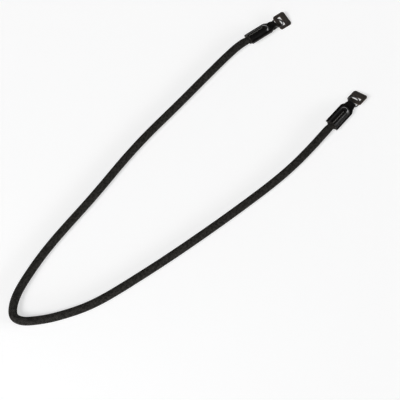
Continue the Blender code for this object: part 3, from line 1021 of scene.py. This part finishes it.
def ring_pad_mesh(side):
    """A flat leather pad with rounded edges, its origin in the middle of the slot for the ring."""
    count = PAD_POINTS
    near = -SLOT_WIDTH / 2 - PAD_NEAR_STRIP
    far = SLOT_WIDTH / 2 + PAD_FAR_STRIP
    outline = rounded_outline(PAD_HALF_WIDTH, near, far, PAD_CORNER, count)
    slot = rounded_outline(SLOT_HALF_LENGTH, -SLOT_WIDTH / 2, SLOT_WIDTH / 2, SLOT_CORNER, count)
    reach = np.linalg.norm(slot - outline, axis=1)
    parts = [inset / reach for inset in PAD_INSETS]
    steps = range(1, PAD_MIDDLE_LOOPS)
    parts += [np.full_like(reach, 0.15 + 0.7 * k / PAD_MIDDLE_LOOPS) for k in steps]
    parts += [1 - inset / reach for inset in reversed(PAD_INSETS)]
    parts = np.array(parts)
    flat = outline[None] + (slot - outline)[None] * parts[..., None]
    inset = np.minimum(parts, 1 - parts) * reach[None]
    crease_inset, crease_width, crease_depth = PAD_CREASE
    crease = crease_depth * hump(inset - crease_inset, crease_width)
    wave = PAD_WAVE * np.sin(flat[..., 0] * 700) * np.sin(flat[..., 1] * 520 + 1.0)
    swell = wave * ease(inset, 0.0005, 0.002)
    half = PAD_THICKNESS / 2 - rounding(inset, PAD_EDGE_ROUND) - crease + swell - PAD_WAVE
    half[[0, -1]] = np.minimum(half[[0, -1]], PAD_THICKNESS / 2 - PAD_EDGE_ROUND)
    faces = [np.concatenate([flat * (side, 1.0), face * half[..., None]], axis=-1) for face in (1, -1)]
    loops = len(parts)
    points = np.concatenate([face.reshape(-1, 3) for face in faces])
    upper = tube_quads(loops, count)
    lower = upper[:, ::-1] + loops * count
    below = loops * count
    banks = []
    for loop in (0, loops - 1):
        one = loop * count + np.arange(count)
        other = loop * count + (np.arange(count) + 1) % count
        quad = np.stack([one, other, other + below, one + below], axis=1)
        banks.append(quad if loop == 0 else quad[:, ::-1])
    quads = np.concatenate([upper, lower, *banks])
    quads = quads if side < 0 else quads[:, ::-1]
    rim = hump(inset, PAD_RIM_WIDTH).ravel()
    return quad_mesh("ring_pad", points, quads, {"rim": np.concatenate([rim, rim])})


def end_place(side):
    """Where the frame of one end stands."""
    tip, mouth = (ROUTE[-1], ROUTE[-2]) if side > 0 else (ROUTE[0], ROUTE[1])
    mouth = Vector(mouth)
    along = Vector(tip) - mouth
    return Matrix.Translation(mouth) @ Matrix.Rotation(math.atan2(-along.x, along.y), 4, "Z")


def end_places(side):
    """Where the leather, the ring and the pad of one end stand."""
    place = end_place(side)
    rolled = Matrix.Rotation(side * END_ROLL, 4, "Y")
    pitched = Matrix.Rotation(-math.atan(DROOP_SLOPE), 4, "X")
    ring_centre = rolled @ Vector((0.0, RING_CENTRE, -float(droop(np.array(RING_CENTRE)))))
    ring = Matrix.Translation(ring_centre) @ rolled @ pitched
    slot_ahead = RING_RADIUS + 2 * GAP - SLOT_WIDTH / 2
    pad_centre = ring @ Vector((0.0, slot_ahead, 0.0)) + Vector((0.0, 0.0, PAD_LIFT))
    pad = Matrix.Translation(pad_centre) @ Euler((PAD_PITCH, -side * PAD_ROLL, 0.0)).to_matrix().to_4x4()
    return {"leather": place @ rolled, "ring": place @ ring, "pad": place @ pad}


def floor_mesh():
    """A wide round floor whose far rim sweeps up, so that no edge of it shows."""
    bm = bmesh.new()
    rings = []
    for radius, height in FLOOR_RINGS:
        ring = []
        for k in range(FLOOR_SIDES):
            angle = math.tau * k / FLOOR_SIDES
            ring.append(bm.verts.new((radius * math.cos(angle), radius * math.sin(angle), height)))
        rings.append(ring)
    bm.faces.new(rings[0])
    for one, other in zip(rings, rings[1:]):
        for k in range(FLOOR_SIDES):
            after = (k + 1) % FLOOR_SIDES
            bm.faces.new((one[k], other[k], other[after], one[after]))
    bmesh.ops.recalc_face_normals(bm, faces=bm.faces)
    mesh = bpy.data.meshes.new("pale_floor")
    bm.to_mesh(mesh)
    bm.free()
    mesh.shade_smooth()
    return mesh


# Operators.

ENDS = (("left", -1), ("right", 1))


def show_at_ends(kind, make_mesh, finish, part, node=None):
    """A piece at each end, at its leather's, ring's or pad's place. It may stand for a CAD node there."""
    for word, side in ENDS:
        stands_for = [f"{word}_{node}"] if node else []
        show(f"{word}_{kind}", make_mesh(side), finish, end_places(side)[part], stands_for)


class STRAP_OT_cord(Operator):
    """Braid the cord from its yarns, along its whole route"""

    bl_idname = "strap.cord"
    bl_label = "Braided cord"

    def execute(self, context):
        settings = context.scene.strap_cord
        line = CordLine()
        finish = braid_finish(settings)
        fields = np.random.default_rng(TONE_SEED)
        pieces = []
        for way, word in ((1, "rising"), (-1, "falling")):
            for part in range(YARNS_EACH_WAY // YARNS_A_PIECE):
                yarns = np.arange(YARNS_A_PIECE) * (YARNS_EACH_WAY // YARNS_A_PIECE) + part
                points, across, lift, along = yarn_points(line, settings, way, yarns)
                shape = points.shape[:3]
                count, rings, sides = shape
                one = tube_quads(rings, sides)
                quads = (one[None] + (np.arange(count) * rings * sides)[:, None, None]).reshape(-1, 4)
                tone = fields.uniform(0.0, 1.0, count)[:, None, None]
                marks = {"across": across, "lift": lift, "along": along[..., None], "tone": tone}
                marks = {mark: np.broadcast_to(values, shape) for mark, values in marks.items()}
                sheet = yarn_sheet(along, sides, count)
                name = f"rope_yarns_{word}_{part + 1}"
                mesh = quad_mesh(name, points.reshape(-1, 3), quads, marks, sheet)
                pieces.append(show(name, mesh, finish, Matrix(), ["rope"]))
        self.lay_core(line, pieces)
        return {"FINISHED"}

    def lay_core(self, line, yarns):
        """The cord's filling: a round curve along the cord's middle line."""
        curve = bpy.data.curves.new("rope_core", "CURVE")
        curve.dimensions = "3D"
        curve.bevel_depth = CORE_RADIUS
        curve.bevel_resolution = 3
        curve.use_fill_caps = True
        points = line.frames(np.linspace(0.0, line.length, CORE_POINTS))[0]
        spline = curve.splines.new("POLY")
        spline.points.add(len(points) - 1)
        for target, point in zip(spline.points, points):
            target.co = (*point, 1.0)
        core = show("rope_core", curve, core_finish(), Matrix(), ["rope"])


class STRAP_OT_leather_ends(Operator):
    """Fold the two leather ends round their rings and over the cord"""

    bl_idname = "strap.leather_ends"
    bl_label = "Leather ends"

    def execute(self, context):
        finish = sleeve_finish(context.scene.strap_leather)
        show_at_ends(
            "sewn_leather_end", leather_end_mesh, finish, "leather", "leather_end"
        )
        return {"FINISHED"}


class STRAP_OT_stitching(Operator):
    """Sew the seam of waxed thread down each leather end"""

    bl_idname = "strap.stitching"
    bl_label = "Stitching"

    def execute(self, context):
        settings = context.scene.strap_leather
        finish = thread_finish(settings)

        def make_mesh(side):
            return stitching_mesh(side, settings)

        show_at_ends("stitching", make_mesh, finish, "leather")
        return {"FINISHED"}


class STRAP_OT_split_rings(Operator):
    """Wind the two split rings"""

    bl_idname = "strap.split_rings"
    bl_label = "Split rings"

    def execute(self, context):
        finish = steel_finish(context.scene.strap_ring)
        show_at_ends("wound_split_ring", split_ring_mesh, finish, "ring", "split_ring")
        return {"FINISHED"}


class STRAP_OT_ring_pads(Operator):
    """Cut the two slotted leather pads"""

    bl_idname = "strap.ring_pads"
    bl_label = "Ring pads"

    def execute(self, context):
        finish = pad_finish(context.scene.strap_leather)
        show_at_ends("grained_ring_pad", ring_pad_mesh, finish, "pad", "ring_pad")
        return {"FINISHED"}


class STRAP_OT_stage(Operator):
    """Set out the pale floor, the soft light and the camera"""

    bl_idname = "strap.stage"
    bl_label = "Floor, light and camera"

    def execute(self, context):
        settings = context.scene.strap_stage
        floor = put("pale_floor", floor_mesh())
        floor.data.materials.append(floor_finish(settings))
        self.light_room(context.scene, settings)
        self.add_sun("key_light", KEY_TOWARDS, settings.key_light, SOFT_SPREAD)
        self.add_disc("low_light", settings.low_light)
        self.add_sun("rim_light", RIM_TOWARDS, settings.rim_light, RIM_SPREAD)
        self.add_sun("glint_light", GLINT_TOWARDS, settings.glint_light, SOFT_SPREAD)
        self.add_camera(context.scene, settings)
        context.scene.view_settings.view_transform = "Standard"
        return {"FINISHED"}

    def light_room(self, scene, settings):
        room = bpy.data.worlds.new("pale_room")
        room.use_nodes = True
        sky = room.node_tree.nodes["Background"]
        sky.inputs["Color"].default_value = (1.0, 1.0, 1.0, 1.0)
        sky.inputs["Strength"].default_value = settings.room_light
        scene.world = room

    def add_sun(self, name, towards, strength, spread):
        """A far light of soft edge, which stands in this direction from the strap."""
        light = bpy.data.lights.new(name, "SUN")
        light.energy = strength
        light.angle = spread
        sun = put(name, light)
        sun.rotation_euler = Vector(towards).to_track_quat("Z", "Y").to_euler()

    def add_disc(self, name, power):
        """The near round light, which the camera doesn't see."""
        light = bpy.data.lights.new(name, "AREA")
        light.shape = "DISK"
        light.size = LOW_LIGHT_SIZE
        light.energy = power
        disc = put(name, light)
        disc.location = LOW_LIGHT_PLACE
        disc.rotation_euler = (LOW_LIGHT_PLACE - LOW_LIGHT_AIM).to_track_quat("Z", "Y").to_euler()
        disc.visible_camera = False

    def add_camera(self, scene, settings):
        lens = bpy.data.cameras.new("camera")
        lens.lens = settings.camera_lens
        lens.sensor_width = SENSOR_WIDTH
        lens.clip_start = CLIP_START
        lens.clip_end = CLIP_END
        camera = put("camera", lens)
        heading = settings.camera_heading
        level = math.cos(settings.camera_elevation)
        drop = math.sin(settings.camera_elevation)
        looks = Vector((-math.sin(heading) * level, math.cos(heading) * level, -drop))
        camera.location = CAMERA_TARGET - looks * settings.camera_distance
        camera.rotation_euler = looks.to_track_quat("-Z", "Y").to_euler()
        scene.camera = camera


class STRAP_PT_panel(Panel):
    """Lists the strap's settings and the operators that build its pieces"""

    bl_label = "Neck strap"
    bl_idname = "STRAP_PT_panel"
    bl_space_type = "VIEW_3D"
    bl_region_type = "UI"
    bl_category = "Neck Strap"

    def draw(self, context):
        for group, operators in BUILD_STEPS:
            box = self.layout.box()
            settings = getattr(context.scene, group)
            for name in settings.__annotations__:
                box.prop(settings, name)
            for operator in operators:
                box.operator(operator.bl_idname)


# The groups of settings, with the operators that read them, in the order that they build the strap.
BUILD_STEPS = (
    ("strap_stage", (STRAP_OT_stage,)),
    ("strap_cord", (STRAP_OT_cord,)),
    ("strap_leather", (STRAP_OT_leather_ends, STRAP_OT_stitching, STRAP_OT_ring_pads)),
    ("strap_ring", (STRAP_OT_split_rings,)),
)
SETTINGS = {
    "strap_stage": StrapStageSettings,
    "strap_cord": StrapCordSettings,
    "strap_leather": StrapLeatherSettings,
    "strap_ring": StrapRingSettings,
}
CLASSES = (
    *SETTINGS.values(),
    *(operator for _, operators in BUILD_STEPS for operator in operators),
    STRAP_PT_panel,
)


def register():
    for one in CLASSES:
        bpy.utils.register_class(one)
    for name, group in SETTINGS.items():
        setattr(bpy.types.Scene, name, PointerProperty(type=group))


def unregister():
    for name in SETTINGS:
        delattr(bpy.types.Scene, name)
    for one in reversed(CLASSES):
        bpy.utils.unregister_class(one)


def main():
    register()
    bpy.ops.strap.stage()
    bpy.ops.strap.cord()
    bpy.ops.strap.leather_ends()
    bpy.ops.strap.stitching()
    bpy.ops.strap.split_rings()
    bpy.ops.strap.ring_pads()


if __name__ == "__main__":
    main()
